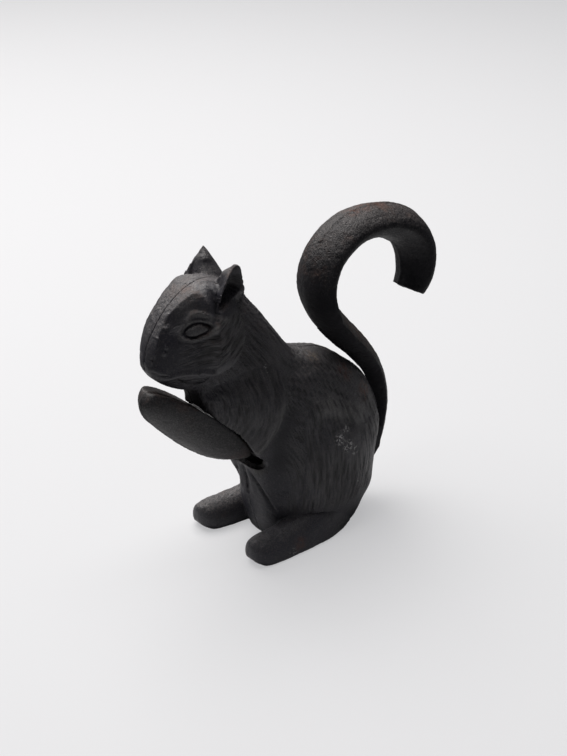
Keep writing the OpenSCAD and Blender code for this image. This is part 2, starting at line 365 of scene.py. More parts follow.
# the crisp edge between the snout's top and the side of the face: x, z, half width there
FACE_EDGE = np.array([
    [-93.6, 112.0, 3.0], [-92.4, 119.0, 3.6], [-90.6, 123.5, 4.4], [-89.2, 128.3, 4.7],
    [-87.6, 133.2, 5.3], [-85.6, 138.6, 5.0], [-82.6, 143.4, 4.7], [-79.2, 147.0, 5.0],
    [-76.0, 150.2, 5.6], [-72.5, 152.7, 6.4], [-68.3, 155.2, 7.4], [-63.4, 157.3, 8.5],
    [-58.5, 158.7, 9.8],
])


def half_skin(u, a, off, near):
    """One half's skin over the grid (u, a). u runs from nose to base along the stations, and a
    from 0 at the front to 180 degrees at the back. A station's point is the front point plus
    (1 - cos a)/2 of the way to the back point, and stands out sideways by the half width times
    sin a to the power of its squareness. off moves the whole skin inwards. near tells the left
    half, whose face is flatter, from the right half."""
    r = spline_rows(BODY_ROWS, u)
    f, b = r[..., 0:2], r[..., 2:4]
    length = np.linalg.norm(b - f, axis=-1)
    g = (b - f) / length[..., None]
    share = (1 - np.cos(a)) / 2
    s = share * (length - 2 * off) + off
    xz = f + g * s[..., None]
    power = r[..., 5] + (r[..., 6] - r[..., 5]) * smooth(share * 2 - 0.5)
    y = (r[..., 4] - off) * np.sin(a).clip(0, 1) ** power
    x, z = xz[..., 0], xz[..., 1]
    swell = sum(high * smooth((1 - np.hypot((x - cx) / rx, (z - cz) / rz)) / soft)
                for cx, cz, rx, rz, high, soft in (THIGH, CHEEK))
    y = y + swell * smooth(np.sin(a) * 1.6)
    limit = face_side(x.ravel(), z.ravel(), near).reshape(x.shape) - 1.3 * off
    y = np.minimum(y, np.maximum(limit, 0.0) if off else limit)
    return np.stack([x, y, np.maximum(z, 0.0)], -1)


def face_side(x, z, near):
    """The flattened side of the face: below the edge the half width may be the edge's own plus
    15 (1 - exp(-d/reach)), with d the distance from a point of the edge, and the least of these
    over all its points counts, taken as a soft minimum. Elsewhere there is no bound."""
    reach = 13.0 if near else 6.0
    outline = np.vstack([FACE_EDGE[:, :2], [[-50.0, 140.0], [-50.0, 95.0], [-96.0, 95.0]]])
    deep = inside_distance(x, z, outline)
    edge = spline_rows(FACE_EDGE, np.linspace(0, 1, 60))
    d = np.hypot(x[:, None] - edge[:, 0], z[:, None] - edge[:, 1])
    each = edge[:, 2] + (0.0 if near else 1.6) + 15.0 * (1 - np.exp(-d / reach))
    low = each.min(1)
    limit = low - 0.7 * np.log(np.exp(-(each - low[:, None]) / 0.7).sum(1) / 2.0)
    limit = limit + 14 * smooth((x + 68) / 17)
    return np.where(deep > 0, limit, 99.0)


def half_shell(near):
    """The hollow half: outer skin, inner skin a wall's thickness inside it, both closed at nose
    and base, and the flat rim on the parting plane that joins their front and back edges."""
    n, m = 260, 91
    u, a = np.meshgrid(np.linspace(0, 1, n), np.linspace(0, np.pi, m), indexing="ij")
    outer = half_skin(u, a, 0.0, near)
    inner = half_skin(0.13 + 0.82 * u, a, WALL, near)
    inner[..., 2] = np.maximum(inner[..., 2], INNER_FLOOR)
    both = np.stack([outer, inner])
    both[:, :, [0, m - 1], 1] = 0.0
    count = n * m
    i, j = np.meshgrid(np.arange(n - 1), np.arange(m - 1), indexing="ij")
    p = i * m + j
    skin = np.stack([p, p + 1, p + m + 1, p + m], -1).reshape(-1, 4)
    k = np.arange(m // 2)
    ends = [np.stack([e + k, e + k + 1, e + m - 2 - k, e + m - 1 - k], -1)
            for e in (0, count - m)]
    q = np.arange(n - 1) * m
    front = np.stack([q, q + m, q + m + count, q + count], -1)
    rim = [front, front + m - 1]
    for e in (0, count - m):
        rim.append(np.array([[e, e + m - 1, e + m - 1 + count, e + count]]))
    faces = [skin, skin + count] + ends + [f + count for f in ends] + rim
    return both.reshape(-1, 3), faces


def foot_surface():
    """The foot: sections across a line from toe to heel. Each is an oval, cut at the ground,
    whose lower part is flatter than its upper part."""
    n, m = 90, 64
    u, t = np.meshgrid(np.linspace(0, 1, n), np.linspace(0, 1, m), indexing="ij")
    r = spline_rows(FOOT_ROWS, u)
    ang = np.radians(-40 + 260 * t)
    low = (r[..., 4] - r[..., 3]) * 0.3
    high = r[..., 4] - r[..., 3] - low
    s = np.sin(ang)
    z = r[..., 3] + low + np.where(s > 0, high * s, low * s / math.sin(math.radians(40)))
    return ring_grid(np.stack([r[..., 0], r[..., 1] + r[..., 2] * np.cos(ang),
                               np.maximum(z, 0.0)], -1))


# the ear's plate: a point at its foot, and the directions along it, up it and out of it; the
# near ear is a little lower than the far one
EAR_FOOT = np.array([-57.4, 16.8, 148.5])
EAR_ALONG = np.array([0.904, -0.428, 0.009])
EAR_UP = np.array([0.055, 0.136, 0.989])
EAR_OUT = np.array([0.425, 0.893, -0.146])
# its front and rear edges at heights up the plate, and how much further back the far ear starts
EAR_LOW, EAR_TIP = -7, 20.4
EAR_HEIGHTS = [EAR_LOW, 0, 4, 8, 12, 15, 17.5, 19.3, EAR_TIP]
EAR_FRONT = [-1.5, -0.4, 0.2, 1.4, 3.5, 5.9, 8.4, 10.4, 12.0]
EAR_REAR = [27.5, 25.4, 23.5, 21.4, 19.0, 17.0, 15.4, 14.0, 12.8]
FAR_EAR_BACK = ([0, 8, 12, 17.5, EAR_TIP], [0, 1.1, 1.9, 2.0, 1.2])
EAR_POCKET = [[10.6, 18.2], [7.4, 15.6], [4.4, 12.2], [1.7, 7.0], [0.7, 2.5], [0.2, -2.2],
              [8.6, 0.6], [16.6, 3.2], [18.6, 6.0], [17.8, 9.6], [14.4, 15.4]]


def ear_stretch(near):
    """How much taller than its drawing the ear is built."""
    return 0.98 if near else 1.07


def ear_front(t, near):
    """Place of the ear's front edge along its plate at the height t."""
    s0 = np.interp(t, EAR_HEIGHTS, EAR_FRONT)
    return s0 if near else s0 + np.interp(t, *FAR_EAR_BACK)


def ear_surface(near):
    """The ear, a rounded triangle of a plate: heights t up the plate, and at each height a
    closed curve from the front edge to the rear edge and back. With v from -1 to 1 between the
    edges, the outer face stands out by the root of 1 - v6, more towards the rear, and the inner
    face by the root of 1 - v2; it grows from a thin tip into a broad flare over the head."""
    n, m = 90, 160
    t = np.linspace(EAR_LOW, EAR_TIP, n)[:, None] * np.ones((1, m))
    s0 = ear_front(t, near)
    s1 = np.interp(t, EAR_HEIGHTS, EAR_REAR)
    k = np.arange(m)[None] * np.ones((n, 1))
    half = m // 2
    first = k < half
    v = -np.cos(np.pi * np.where(first, k / half, (m - k) / half))
    along = (s0 + s1) / 2 + (s1 - s0) / 2 * v
    edge = np.sqrt(np.clip(1 - v**2, 0, 1))
    rear = 1.2 * smooth((v - 0.2) / 0.5)
    outer = (0.5 + 1.2 * smooth((v + 0.9) / 0.9) + rear) * np.clip(1 - v**6, 0, 1) ** 0.5
    low = 4.6 * smooth((14 - t) / 9) * smooth((v + 0.75) / 0.8)
    wedge = 5.2 * smooth((EAR_TIP - t) / 6.5) * (0.15 + 0.85 * smooth((v + 1) / 0.9))
    inner = -(1.2 + wedge + low) * edge
    out = np.where(first, outer, inner)
    up = np.where(t > 0, t * ear_stretch(near), t)
    return ring_grid(EAR_FOOT + EAR_ALONG * along[..., None] + EAR_UP * up[..., None]
                     + EAR_OUT * out[..., None])


def ear_pocket(p, normal, near):
    """Sinks the ear's pocket into the fused skin. Measured along the outward direction of the
    ear's plate, a point inside the pocket's outline may stand no higher than the rim, and less
    the further inside it is, down to the pocket's floor; outside, the bound rises steeply. The
    rim is thin and low in front, and broad and high at the rear."""
    q = p - EAR_FOOT
    up = q @ EAR_UP
    t = np.where(up > 0, up / ear_stretch(near), up)
    along, out = q @ EAR_ALONG, q @ EAR_OUT
    dist = inside_distance(along, t, EAR_POCKET)
    low = smooth((13 - t) / 9)
    reach = 1.2 + 2.2 * smooth((along - 5) / 8)
    rim = 0.3 + 2.5 * smooth((along - ear_front(t, near) - 0.5) / 13)
    bound = np.where(dist > 0, rim - smooth(dist / reach) * (rim + 1.9 + 2.0 * low),
                     rim - 3.0 * dist)
    hit = (normal @ EAR_OUT > 0.0) & (dist > -5) & (out > bound) & (p[:, 0] < -25)
    return p - EAR_OUT * np.where(hit, out - bound, 0.0)[:, None]


# outlines and lines on the side of a half: x, z
CHEEK_EDGE = [
    [-41.5, 143.0], [-38.8, 134.0], [-39.2, 128.8], [-41.4, 124.0], [-45.2, 118.0],
    [-50.4, 114.0], [-57.3, 112.2], [-65.0, 112.6], [-70.0, 113.2], [-75.0, 113.8],
    [-79.7, 114.0], [-83.5, 113.0], [-90.0, 109.0], [-110.0, 106.0], [-110.0, 175.0],
    [-50.0, 175.0], [-43.0, 151.0],
]
CHEST = [
    [-16.5, 101.0], [-18.2, 87.0], [-20.0, 79.4], [-23.3, 72.0], [-27.6, 65.5], [-31.5, 58.0],
    [-60.0, 60.0], [-80.0, 96.0], [-60.0, 104.0], [-40.0, 110.0], [-24.0, 110.0],
]
VALLEY = [[-11.0, 100.0], [-13.6, 86.0], [-17.2, 75.0], [-21.7, 65.0], [-22.4, 50.0],
          [-19.5, 34.0]]
HAUNCH = [
    [-9.0, 75.0], [-4.2, 82.6], [4.7, 84.4], [17.0, 81.2], [30.0, 73.6], [42.0, 62.0],
    [64.0, 52.0], [66.0, 10.0], [45.0, -20.0], [-16.0, -20.0], [-12.5, 28.0], [-11.0, 40.0],
    [-9.5, 55.0],
]
HAUNCH_TOP = [[-4.5, 78.4], [2.0, 80.0], [8.0, 79.0], [15.0, 76.0], [25.0, 71.2],
              [36.5, 62.0]]
BROW = [[-77.1, 147.3], [-74.4, 149.4], [-70.8, 151.8], [-65.8, 153.0], [-63.0, 151.1],
        [-61.4, 148.3]]
UPPER_LID = [[-73.4, 141.8], [-71.8, 144.2], [-70.0, 145.9], [-67.0, 147.0], [-63.6, 146.0],
             [-61.4, 143.3]]
LID_TAIL = [[-64.8, 136.7], [-60.3, 140.0], [-55.4, 141.8], [-50.6, 142.1]]
# the hollow before the ear and the ledge over it, in space: x, y, z
LEDGE = [[-60.0, 2.6, 159.0], [-57.6, 4.6, 159.4], [-54.8, 6.0, 159.8], [-52.2, 7.6, 160.4],
         [-50.8, 9.8, 162.4]]
BEFORE_EAR = [[-53.4, 6.8, 158.4], [-54.6, 9.6, 156.4], [-55.8, 12.4, 154.2],
              [-56.7, 15.0, 151.2], [-57.2, 17.0, 147.6], [-57.8, 18.4, 143.5]]
MOUTH = [[-91.5, 119.5], [-87.5, 117.0], [-83.5, 116.6]]
NOSTRIL = (-90.3, 125.5)
SOCKET = (-78.0, 142.5)
# small burrs of the face: x, z, reach
BURRS = ((-82.3, 140.7, 0.7), (-86.9, 136.4, 0.6), (-83.9, 131.8, 0.7), (-84.9, 128.7, 0.8),
         (-69.2, 115.5, 0.7))
BELLY_CREASE = [[4.6, 44.5], [7.0, 39.8], [10.4, 34.4], [13.6, 28.7], [16.6, 19.3]]
# half width of the strip over the snout and the head that keeps its dusting and painted top
# light, at places along x
TOP_LIGHT_EDGE = ([-95, -88, -80, -60, -55, -52, -49], [3.0, 4.7, 5.0, 5.9, 5.6, 9.0, 18.0])
EYE, EYE_TILT = (-69.0, 138.6), 0.24
EYE_HALF_LENGTH, EYE_HALF_HEIGHT = 5.3, 2.95
# where the far side of the head swells in front of its ear, and the painted highlight over the
# brow
FAR_SWELL = np.array([-62.0, 12.5, 157.8])
BROW_HIGHLIGHT = (-72.0, 151.0)


def station_place(x, z):
    """Where side points lie on the stations: the share u along the stations, and the share s
    from front to back. The nearest crossing of the station lines is found for all at once."""
    u = np.linspace(0, 1, 90)
    r = spline_rows(BODY_ROWS, u)
    f, b = r[:, 0:2], r[:, 2:4]
    d = b - f
    d = d / np.linalg.norm(d, axis=1)[:, None]
    normal = np.column_stack([-d[:, 1], d[:, 0]])
    q = np.stack([x, z], -1)[:, None, :] - f
    off = (q * normal).sum(-1)
    along = (q * d).sum(-1) / np.linalg.norm(b - f, axis=1)
    score = np.abs(off) + 60 * np.maximum(np.abs(along - 0.5) - 0.6, 0)
    k = score.argmin(1)
    row = np.arange(len(x))
    step = off[row, np.minimum(k + 1, 89)] - off[row, np.maximum(k - 1, 0)]
    width = np.where(np.abs(step) < 1e-6, 1e-6, step) / 2
    return np.clip(u[k] - off[row, k] / width / 89, 0, 1), along[row, k]


def body_forms(x, z, cheek, chest, haunch, valley, crest):
    """Heights on the flat of the side: the skin drops away round the cheek, whose edge has a low
    rim, the chest and the haunch stand out with a valley between them, and the haunch has a
    raised top with a dip below it."""
    h = -2.3 * (1 - smooth((cheek + 0.6) / 3.0)) * smooth((-22 - x) / 12) * smooth(
        (152 - z) / 6) * smooth((z - 96) / 10)
    on_head = smooth((z - 104) / 6) * smooth((-36 - x) / 6)
    h += on_head * 0.5 * bell(cheek - 2.2, 1.8) * smooth((136 - z) / 8)
    h += 2.2 * smooth((chest + 1.0) / 5.5) * smooth((103 - z) / 20) - 1.9 * valley
    h += 2.2 * smooth((haunch + 2) / 11) * smooth((z - 6) / 16) * smooth((56 - x) / 16)
    dip = 0.6 * bell(haunch - 12, 5.0) * smooth((z - 54) / 10) * smooth((40 - x) / 10)
    return h + 1.2 * crest - dip


def eye_place(x, z):
    """Where side points lie by the eye: the radius, 1 on the almond's edge, and the angle."""
    ca, sa = math.cos(EYE_TILT), math.sin(EYE_TILT)
    dx, dz = x - EYE[0], z - EYE[1]
    ex = (dx * ca + dz * sa) / EYE_HALF_LENGTH
    ez = (dz * ca - dx * sa) / (EYE_HALF_HEIGHT * (1 - 0.08 * ex**2).clip(0.4, 1))
    return np.hypot(ex, ez), np.arctan2(ez, ex)


def eye_height(almond, angle, lid_ring):
    """The eye: a low ball in a sunk almond, a groove on the almond's edge that is deepest below
    the front and at the rear corner, and the ring of the lids round it."""
    ball = 1.9 * np.sqrt(np.clip(1 - 0.93 * almond**2, 0, 1)) * (almond < 1)
    sunk = 1.2 * smooth((1.9 - almond) / 0.7)
    deep = 0.15 + 0.85 * bell(angle + 2.1, 0.75) + 0.85 * bell(angle - 0.35, 0.7)
    return ball - sunk - 1.15 * deep * bell(almond - 1.06, 0.10) + 1.15 * lid_ring


def face_lines(x, z, lids, near):
    """Lids and brow, fainter on the far side, nostril and mouth line, and on the near side the
    shaded socket and small burrs."""
    h = (lids + 0.5 * ridge(x, z, BROW, 2.6, 4.0)) * (1.0 if near else 0.35)
    h -= 0.8 * spot(x, z, NOSTRIL, 1.1, 0.8) + 0.7 * ridge(x, z, MOUTH, 0.7, 5.0)
    if near:
        h -= 0.8 * spot(x, z, SOCKET, 5.0, 4.2)
        h += 0.8 * sum(spot(x, z, (bx, bz), reach, reach) for bx, bz, reach in BURRS)
    return h


def belly_relief(p, normal, outer, near):
    """The crease between belly and thigh, the worn gap and the strip along the belly seam, and
    on the far side the belly's own bulge."""
    x, y, z = p.T
    front = smooth((-6 - x) / 8) * smooth((56 - z) / 8) * outer
    strip = bell(y - 3.4 - (44 - z) * 0.2, 1.7) * smooth((z - 26) / 6) * smooth((46 - z) / 3)
    h = front * (0.9 * strip - 1.4 * ridge(y, z, BELLY_CREASE, 0.8, 5.0))
    worn = (noise(p * [0.2, 0.2, 1], 2.2, 81) * 0.9 + 0.6 + 0.5 * noise(p, 1.1, 82)).clip(0, 1.4)
    h -= 2.2 * worn * smooth((1.9 - y) / 1.2) * smooth((z - 26) / 3) * smooth(
        (46 - z) / 3) * (x < -24) * smooth(-normal[:, 0] / 0.4)
    if not near:
        belly = smooth((-8 - x) / 6) * smooth(-normal[:, 0] / 0.4) * smooth((y - 3) / 6)
        h += belly * (1.9 * bell(z - 46, 8) - 1.4 * bell(z - 28, 8))
    return h


def half_relief(p, normal, near):
    """How far each point of a half's skin stands out from the plain skin, in millimetres. Side
    features fade where the skin turns away from the side. Returns the height, and what the
    coat and the material need: the side and outer masks, the cheek's distance, the eye's
    radius, the painted highlight on the raised parts, which is partly wear, and the painted
    shade in the hollows."""
    x, _, z = p.T
    side = smooth((normal[:, 1] - 0.05) / 0.45)
    outer = smooth((normal[:, 1] + 0.25) / 0.3)
    cheek, chest, haunch = (inside_distance(x, z, o) for o in (CHEEK_EDGE, CHEST, HAUNCH))
    valley = bell(line_distance(x, z, VALLEY), 6.0)
    crest = ridge(x, z, HAUNCH_TOP, 5.2, 3.0)
    almond, angle = eye_place(x, z)
    by_eye = np.hypot(x - EYE[0], z - EYE[1]) < 14
    lid_ring = bell(almond - 1.50, 0.28) * by_eye
    lids = ridge(x, z, UPPER_LID, 1.4) + 0.9 * ridge(x, z, LID_TAIL, 1.3, 4.0)
    h = side * (body_forms(x, z, cheek, chest, haunch, valley, crest)
                + eye_height(almond, angle, lid_ring) * by_eye)
    # the rump draws in beside the tail's foot
    rump = 3.5 * bell(z - 34, 22) + 1.9 * bell(z - 66, 13)
    h -= rump * smooth((normal[:, 0] - 0.1) / 0.5) * smooth((x - 18) / 10)
    h += smooth(normal[:, 1] / 0.35) * face_lines(x, z, lids, near)
    # the hollow in front of the ear, and the ledge over it
    q = p - EAR_FOOT
    hollow = along_path(p, BEFORE_EAR, 3.8, 5, 0.3) * smooth(
        (ear_front(q @ EAR_UP, True) + 1.4 - q @ EAR_ALONG) / 1.6)
    if near:
        h += 0.8 * along_path(p, LEDGE, 1.1, 5, 0.1) - 2.6 * hollow
    else:
        h += 2.1 * bell(np.linalg.norm(p - FAR_SWELL, axis=1), 6.0) - 0.9 * hollow
    h += belly_relief(p, normal, outer, near)
    # painted highlights, partly wear: a paler tone on the lid ring and lids, the haunch's crest,
    # the chest's lower rim, over the brow on the near side, on the eyeball and along the cheek's
    # rim
    worn = 0.8 * lid_ring + 0.6 * lids + 1.1 * crest * (0.8 + 0.6 * noise(p, 5.0, 83))
    worn += 0.85 * bell(chest - 3, 2.6) * smooth((90 - z) / 8)
    worn += 0.5 * near * spot(x, z, BROW_HIGHLIGHT, 6.5, 4.5)
    worn += 0.6 * (almond < 0.95) * by_eye + 0.3 * bell(cheek - 3, 3.0) * smooth((134 - z) / 8)
    # painted shade: a darker tone in the valley between chest and haunch, and in the hollow
    # before the near ear
    shade = 0.6 * valley * smooth((88 - z) / 10) * smooth((z - 30) / 24) + near * 0.5 * hollow
    return h, side, outer, cheek, almond, worn * side, shade * side


def strokes(p, along, across, pitch, length, key):
    """Hair strokes: noise that is short across the hair and long along it, sharpened so that
    narrow grooves stay between broad locks. Returns 0 on a lock to -1 in a groove."""
    q = np.stack([across / pitch, along / length, np.full(len(p), key * 3.7)], -1)
    q[:, 0] += noise(p, 9.0, key + 5) * 0.6
    v = noise(q, 1.0, key) * 0.7 + noise(q * [2.0, 2.0, 1.0], 1.0, key + 1) * 0.3
    return -np.clip(0.2 - v, 0, 1) ** 1.3


NECK_HAIR, HAUNCH_HAIR, CHEST_HAIR, FACE_HAIR = range(4)


def coat(p, side, outer, cheek, almond):
    """The hair: for each point its place along and across the hair, in millimetres, its kind and
    how strong it is. It runs down the neck and along the back, in arcs across the chest, down
    the haunch bending with the rump, and in short waves back over the face."""
    x, _, z = p.T
    u, s = station_place(x, z)
    haunch, chest = inside_distance(x, z, HAUNCH), inside_distance(x, z, CHEST)
    along, across = u * 235.0, (s - 0.5) * 78.0
    kind, border = np.full(len(p), NECK_HAIR), np.zeros(len(p))
    for k, a, c, share in (
            (HAUNCH_HAIR, z, x + 0.010 * (z - 46) ** 2 * np.clip((x + 12) / 50, 0, 1),
             smooth(haunch / 3)),
            (CHEST_HAIR, np.arctan2(z - 90, x + 92) * 62, np.hypot(x + 92, z - 90),
             smooth((chest + 2) / 5)),
            (FACE_HAIR, x, z - 0.2 * x - 0.0125 * np.maximum(x + 68, 0) ** 2,
             smooth(cheek / 2))):
        pick = share > 0.5
        along, across = np.where(pick, a, along), np.where(pick, c, across)
        kind = np.where(pick, k, kind)
        border = np.maximum(border, 1 - np.abs(2 * share - 1))
    face = kind == FACE_HAIR
    bare = bell(line_distance(x, z, VALLEY), 7.0) * smooth((84 - z) / 10)
    bare = np.maximum(bare, smooth((-14 - x) / 6) * smooth((56 - z) / 8) * ~face)
    waves = smooth((z - 117) / 5) * smooth((147 - z) / 7) * smooth((x + 82) / 12)
    amount = np.where(face, smooth((almond - 1.75) / 0.4) * waves,
                      (1 - bare) * smooth((z - 15) / 8))
    amount = amount * (1 - 0.8 * border) * (0.72 + 0.35 * noise(p, 14.0, 41))
    amount = amount * outer * (0.35 + 0.65 * side) * (z < 162)
    return along, across, kind, amount.clip(0, 1.2)


def grain_height(p):
    """Sand-cast skin: three sizes of noise and scattered pits, in millimetres."""
    h = 0.12 * noise(p, 5.0, 61) + 0.11 * noise(p, 2.2, 62) + 0.13 * noise(p, 1.2, 63)
    pits = noise(p, 2.6, 64)
    return h - 0.2 * smooth((pits - 0.55) / 0.2)


def coarseness(normal, kind):
    """How coarse the sand grain is, about 1 on upward faces and less on the smooth sides."""
    up = smooth((normal[:, 2] + 0.05) / 0.75)
    return (0.45 + 0.85 * up - 0.25 * (kind == FACE_HAIR)).clip(0.25, 1.4)


# the screws' bosses in the right half: centre, where the boss ends, and where the head sits
SCREW_BOSSES = (((-47, 126), 14, 16.0), ((14, 15), 24, 25.5))
BOSS_RADIUS, WELL_RADIUS = 6.5, 5.0
# how far the halves' flat joint faces, and the skin beside them, stay off the parting plane
JOINT_GAP, SEAM_GAP = 0.03, 0.06


def raw_half(name, near):
    """A half casting's skin, on the +Y side: the shell with its openings cut, foot, ear and
    bosses fused, the screws' head wells cut, and the inside lightened."""
    shell = new_object(name + "_shell", *half_shell(near))
    outward(shell)
    cut(shell, [prism("front_cut", CUT_LINE, -5, 45),
                prism("notch", circle(NOTCH, 4.0, 40), -5, 45),
                prism("slot", TAIL_SLOT, -5, 5.75)])
    parts = [new_object(name + "_foot", *foot_surface()),
             new_object(name + "_ear", *ear_surface(near))]
    if not near:
        parts += [prism("boss", circle(at, BOSS_RADIUS), 0.5, end) for at, end, _ in SCREW_BOSSES]
    for o in parts:
        outward(o)
    obj = fuse(name, [shell] + parts)
    if not near:
        cut(obj, [prism("well", circle(at, WELL_RADIUS, 64), seat - 0.6, 45)
                  for at, _, seat in SCREW_BOSSES])
    co = points_of(obj.data)
    u, share = station_place(co[:, 0], co[:, 2])
    skin_y = half_skin(u, np.arccos(np.clip(1 - 2 * share, -1, 1)), 0.0, near)[:, 1]
    lighten(obj, (co[:, 1] < skin_y - 2.2) & (np.abs(share - 0.5) < 0.46))
    return obj


def build_half(name, near):
    """A half casting with its relief, hair and grain. It is made on the +Y side, and the near
    one, which is the left half, is mirrored to -Y."""
    obj = raw_half(name, near)
    co, no = points_of(obj.data), normals_of(obj.data)
    big, side, outer, cheek, almond, worn, shade = half_relief(co, no, near)
    set_points(obj.data, ear_pocket(co + no * big[:, None], no, near))
    relax(obj, 0.4, 1)
    mesh = applied(obj)
    co, no = points_of(mesh), normals_of(mesh)
    along, across, kind, hair = coat(co, side, outer, cheek, almond)
    face = kind == FACE_HAIR
    fur = strokes(co, along, across * 1.1 / np.where(face, 1.5, 1.25), 1.1,
                  np.where(face, 3.4, 8.0), 11) * hair * np.where(face, 1.15, 1.0)
    coarse = coarseness(no, kind)
    grain = grain_height(co) * outer * coarse * (1 - 0.8 * smooth((1.15 - almond) / 0.1))
    co = co + no * (fur + grain)[:, None]
    # dusting and painted top light: on the near side they stay on the strip over the snout and
    # the head, so that the side of the face beyond its edge stays shaded
    dust_top_light = 1 - 0.7 * near * smooth((co[:, 1] + 1.5 - np.interp(co[:, 0], *TOP_LIGHT_EDGE)) / 7.0)
    # the joint face and the ground stay flat, and the seam keeps a narrow rounded edge
    joint = (co[:, 1] < 0.8) & (no[:, 1] < -0.75)
    y = np.where(joint, JOINT_GAP, np.maximum(co[:, 1], SEAM_GAP))
    y = np.minimum(y, cad_high[1] / MM - CLEARANCE)
    co = np.stack([co[:, 0] + X_SHIFT, -y if near else y, np.maximum(co[:, 2], 0.0)], -1)
    set_points(mesh, co)
    if near:
        mesh.flip_normals()
    # the worn values are painted highlight on the raised parts, partly wear; the groove and shade
    # values are painted shade; the top-tone values hold dusting with painted light from above
    for key, values in (
            ("groove", np.clip(-fur / 0.35, 0, 1)), ("hair", hair), ("worn", worn.clip(0, 1)),
            ("shade", shade.clip(0, 1)), ("dust_top_light", dust_top_light), ("grit", coarse),
            ("flow", np.stack([across, along, kind * 50.0], -1))):
        put_attribute(mesh, key, values)
    return obj


# ---------------------------------------------------------------- the lever

TAIL_ROWS = [
    [54.0, 20.0, 8.0, 0.3],
    [62.4, 30.0, 9.0, 0.3],
    [66.2, 46.0, 9.8, 0.33],
    [65.7, 62.0, 10.6, 0.42],
    [58.8, 79.5, 12.2, 0.58],
    [47.1, 94.8, 14.0, 0.80],
    [33.6, 108.5, 15.2, 0.96],
    [22.5, 122.5, 15.9, 1.0],
    [18.6, 138.5, 16.2, 1.02],
    [25.0, 154.0, 17.0, 1.0],
    [41.0, 164.6, 18.0, 1.0],
    [61.5, 165.2, 18.5, 1.0],
    [78.8, 157.7, 20.4, 1.0],
    [88.4, 144.6, 21.8, 0.97],
    [89.7, 129.8, 20.6, 0.86],
    [85.0, 119.6, 18.0, 0.7],
]
TAIL_HALF_W = 15.2
ARM_ROWS = [
    [-92.2, 106.0, 3.5, 0.2],
    [-89.2, 107.0, 10.0, 0.5],
    [-82.8, 104.3, 15.5, 0.76],
    [-72.0, 97.5, 19.0, 0.93],
    [-58.5, 87.0, 21.0, 1.0],
    [-46.0, 75.5, 19.5, 1.0],
    [-38.4, 66.3, 15.0, 0.92],
    [-33.8, 60.2, 10.5, 0.78],
    [-30.2, 54.6, 5.0, 0.5],
]
ARM_HALF_W = 13.0
ARM_DOWN = np.array([-0.64, -0.77])


def tail_surface():
    """The tail: a section carried along its centre line. The section is a superellipse, half the
    thickness in the plane and the half width across. Its power grows from 1.32 at the foot to
    1.7 on the loop, so that keels run along its outer and inner sides on the parting plane and
    along both flanks, and soften upwards."""
    n, m = 360, 128
    u, t = np.meshgrid(np.linspace(0, 1, n), np.linspace(0, 1, m, endpoint=False), indexing="ij")
    r = spline_rows(TAIL_ROWS, u)
    step = 0.3 / 42
    d = spline_rows(TAIL_ROWS, u + step)[..., :2] - spline_rows(TAIL_ROWS, u - step)[..., :2]
    g = d / np.linalg.norm(d, axis=-1)[..., None]
    a = 2 * np.pi * t
    c, s = np.cos(a), np.sin(a)
    grow = 1 + 0.04 * smooth((u - 0.35) / 0.2)
    power = 1.32 + 0.38 * smooth((u - 0.42) / 0.14)
    h = grow * r[..., 2] / 2 * np.sign(c) * np.abs(c) ** (2 / power)
    w = r[..., 3] * TAIL_HALF_W * np.sign(s) * np.abs(s) ** (2 / power)
    return ring_grid(np.stack([r[..., 0] + g[..., 1] * h, w, r[..., 1] - g[..., 0] * h], -1))


HULL = [[0.0, 1.0], [0.12, 1.03], [0.30, 1.02], [0.50, 0.93], [0.70, 0.72], [0.88, 0.42],
        [0.97, 0.18], [1.0, 0.0]]


def forearm_surface():
    """The forearm: a boat's hull under a slightly hollowed deck. From the deck's edge the hull
    goes down an upper side that is nearly upright, turns at a soft chine, and runs in to a
    rounded keel; the deck rises by a low arch across its width."""
    n, m = 160, 112
    u = np.linspace(0, 1, n)[:, None] * np.ones((1, m))
    r = spline_rows(ARM_ROWS, u)
    half = m // 2
    j = np.arange(m)[None] * np.ones((n, 1))
    hull = j < half
    v = np.where(hull, j / half * 2 - 1, (m - j) / half * 2 - 1)
    shape = spline_rows(HULL, 1 - np.abs(v))
    depth = r[..., 2] * shape[..., 0]
    deck = 1.0 * (1 - v**2) * smooth(u * 5)
    h = np.where(hull, depth, deck)
    across = np.sign(v) * np.where(hull, shape[..., 1], np.abs(v))
    w = across * r[..., 3] * ARM_HALF_W
    return ring_grid(np.stack([r[..., 0] + ARM_DOWN[0] * h, w, r[..., 1] + ARM_DOWN[1] * h],
                              -1))


PLATE = [[-54, 78], [-41, 63], [-36, 58], [-25, 51], [-12, 45.2], [54, 16.5], [64, 28],
         [66, 40], [40, 49], [-8, 63], [-22, 64], [-38, 71]]
PLATE_HALF, HUB_RADIUS, BORE_RADIUS = 4.5, 11.0, 3.62
# the arm's root stays above this, to clear the foot of the front cut-out when the tail is raised
ROOT_LOW = 52.2


